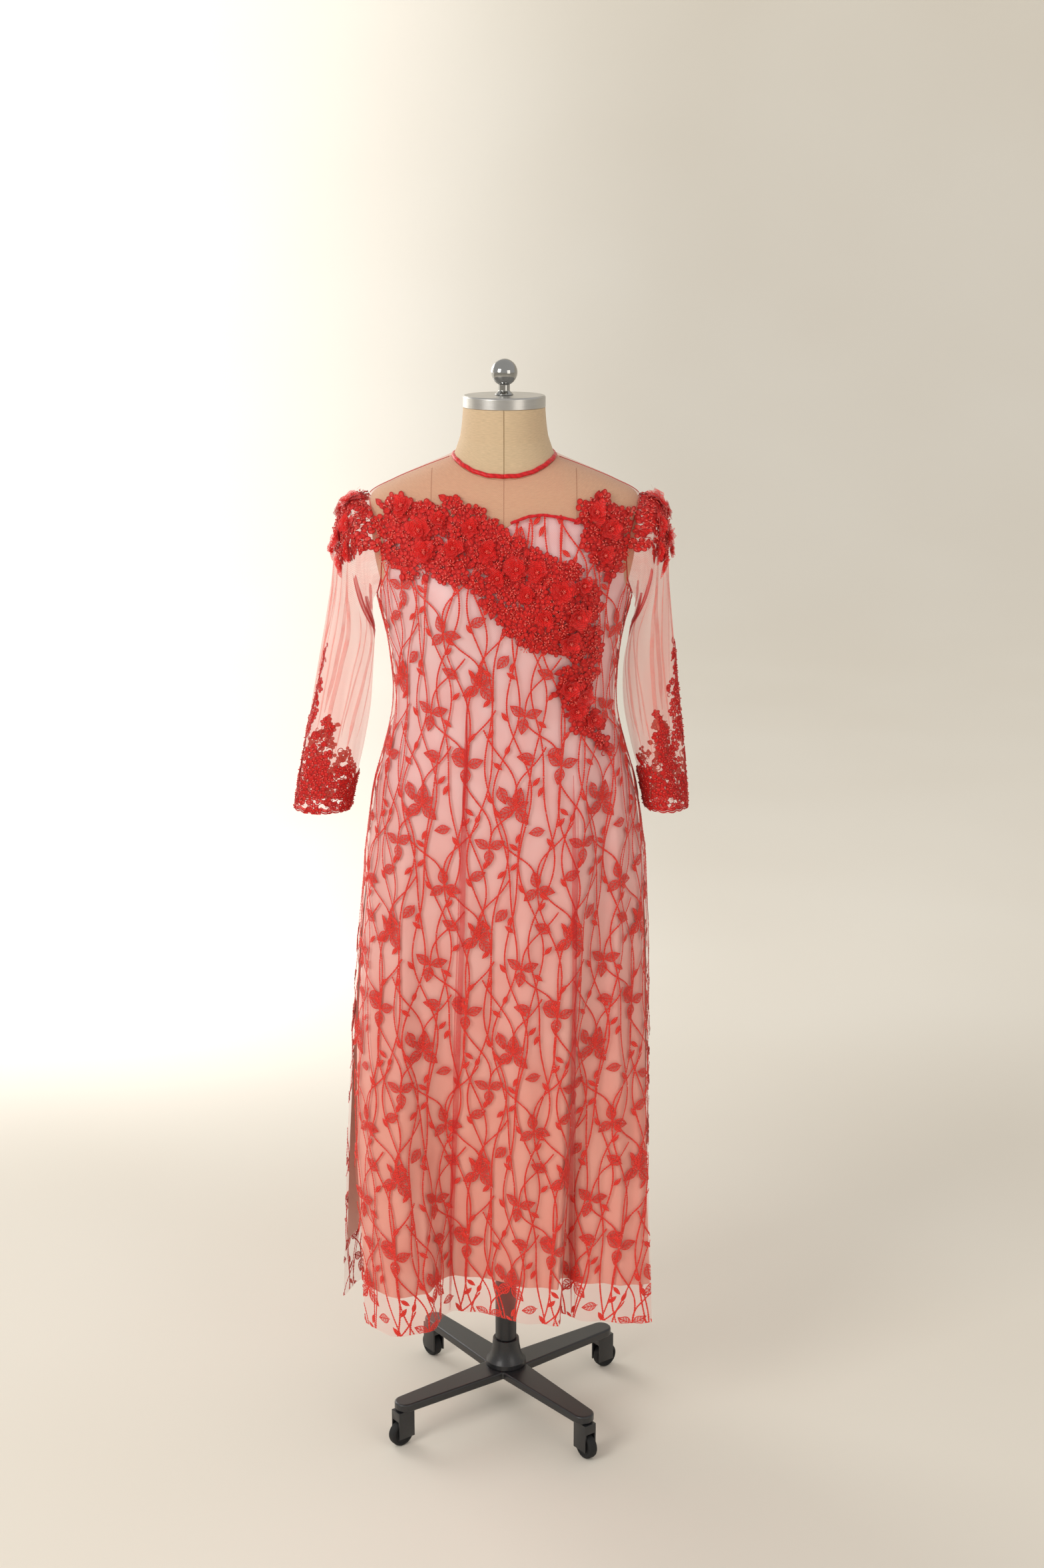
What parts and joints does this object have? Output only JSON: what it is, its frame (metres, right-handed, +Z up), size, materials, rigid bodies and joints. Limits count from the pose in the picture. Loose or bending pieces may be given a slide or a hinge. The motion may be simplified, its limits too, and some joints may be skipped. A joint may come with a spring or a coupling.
{
  "type": "ao dai tunic on dress form",
  "caption": "Long-sleeved red lace ao dai tunic with side slits, corded floral applique and satin lining, worn by a limbless linen dress form on a castered stand.",
  "frame": {"origin": "on the floor under the middle of the whole object", "axes": "+Z up, the tunic's front faces -Y, +X is the wearer's left"},
  "size_m": [0.6038, 0.3833, 1.6843],
  "materials": {
    "net": "sheer embroidered net",
    "lace": "corded and beaded lace",
    "satin": "satin",
    "binding": "satin",
    "linen": "plain weave",
    "steel": "brushed",
    "iron": "satin black",
    "rubber": "matte"
  },
  "bodies": {
    "stand": {"front_yoke": "net", "back_yoke_left": "net", "back_yoke_right": "net", "front_panel": "net", "back_panel": "net", "left_sleeve": "net", "right_sleeve": "net", "front_lining": "satin", "back_lining": "satin", "left_cuff_lace": "lace", "right_cuff_lace": "lace", "bust_applique": "lace", "hip_applique": "lace", "left_bust_applique": "lace", "left_shoulder_applique": "lace", "right_shoulder_applique": "lace", "neck_binding": "binding", "sweetheart_piping": "binding", "back_zip": "binding", "zip_slider": "steel", "dress_form": "linen", "neck_cap": "steel", "finial": "steel", "form_flange": "iron", "pole": "steel", "height_collar": "iron", "pole_tube": "iron", "pole_socket": "iron", "stand_base": "iron"},
    "swivel_1": {"caster_fork_1": "iron"},
    "swivel_2": {"caster_fork_2": "iron"},
    "swivel_3": {"caster_fork_3": "iron"},
    "swivel_4": {"caster_fork_4": "iron"},
    "wheel_1": {"caster_wheel_1": "rubber"},
    "wheel_2": {"caster_wheel_2": "rubber"},
    "wheel_3": {"caster_wheel_3": "rubber"},
    "wheel_4": {"caster_wheel_4": "rubber"},
    "pull": {"zip_pull": "steel"}
  },
  "joints": [
    {"name": "swivel_1_turn", "type": "hinge", "parent": "stand", "child": "swivel_1", "pos_m": [0.17888, 0.12814, 0.05], "axis": [0, 0, 1], "continuous": true},
    {"name": "swivel_2_turn", "type": "hinge", "parent": "stand", "child": "swivel_2", "pos_m": [-0.10014, 0.16488, 0.05], "axis": [0, 0, 1], "continuous": true},
    {"name": "swivel_3_turn", "type": "hinge", "parent": "stand", "child": "swivel_3", "pos_m": [-0.13688, -0.11414, 0.05], "axis": [0, 0, 1], "continuous": true},
    {"name": "swivel_4_turn", "type": "hinge", "parent": "stand", "child": "swivel_4", "pos_m": [0.14214, -0.15088, 0.05], "axis": [0, 0, 1], "continuous": true},
    {"name": "wheel_1_roll", "type": "hinge", "parent": "swivel_1", "child": "wheel_1", "pos_m": [0.18602, 0.13362, 0.02], "axis": [-0.6088, 0.7934, 0], "continuous": true},
    {"name": "wheel_2_roll", "type": "hinge", "parent": "swivel_2", "child": "wheel_2", "pos_m": [-0.10562, 0.17202, 0.02], "axis": [-0.7934, -0.6088, 0], "continuous": true},
    {"name": "wheel_3_roll", "type": "hinge", "parent": "swivel_3", "child": "wheel_3", "pos_m": [-0.14402, -0.11962, 0.02], "axis": [0.6088, -0.7934, 0], "continuous": true},
    {"name": "wheel_4_roll", "type": "hinge", "parent": "swivel_4", "child": "wheel_4", "pos_m": [0.14762, -0.15802, 0.02], "axis": [0.7934, 0.6088, 0], "continuous": true},
    {"name": "pull_swing", "type": "hinge", "parent": "stand", "child": "pull", "pos_m": [0.021, 0.10765, 1.53746], "axis": [1, 0, 0], "range_deg": [0, 140]}
  ]
}
